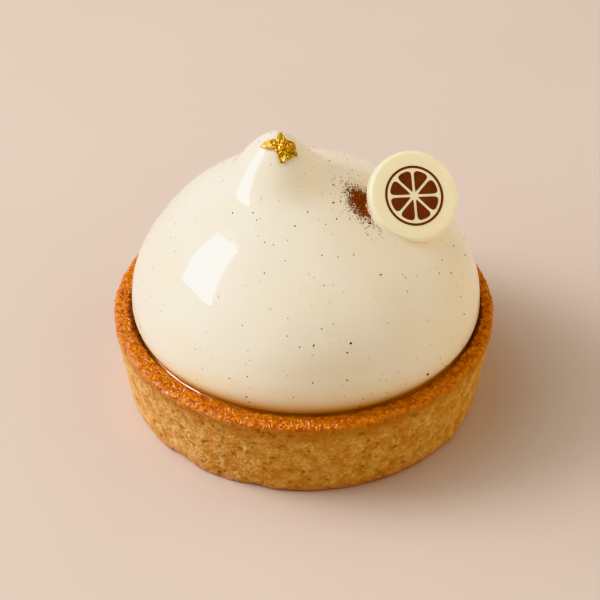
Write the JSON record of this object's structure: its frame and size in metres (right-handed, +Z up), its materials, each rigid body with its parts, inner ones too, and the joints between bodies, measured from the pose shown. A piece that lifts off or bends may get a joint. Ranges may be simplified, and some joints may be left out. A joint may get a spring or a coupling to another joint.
{
  "type": "lemon tartlet",
  "caption": "Round lemon tartlet: a crisp shortcrust shell holds a lemon filling under a glazed cream dome with a leaning peak, topped with a white chocolate disc, cocoa and gold leaf",
  "frame": {"origin": "middle of the flat base of the crust, on the surface that the tartlet stands on", "axes": "+Z up, -Y towards the viewer of the picture, +X to the viewer's right"},
  "size_m": [0.0801, 0.0801, 0.0617],
  "materials": {
    "shortcrust": "golden baked shortcrust, browner at the rim and foot, with an egg-washed rim",
    "lemon_filling": "dark amber lemon filling under a clear wet glaze",
    "glazed_cream": "mirror-glazed ivory cream with fine vanilla specks and a dusting of cocoa",
    "white_chocolate": "satin white chocolate",
    "leaf_gold": "crumpled bright gold leaf"
  },
  "bodies": {
    "root": {"crust": "shortcrust", "filling": "lemon_filling", "cream_dome": "glazed_cream", "chocolate_disc": "white_chocolate", "gold_leaf": "leaf_gold"}
  },
  "joints": []
}
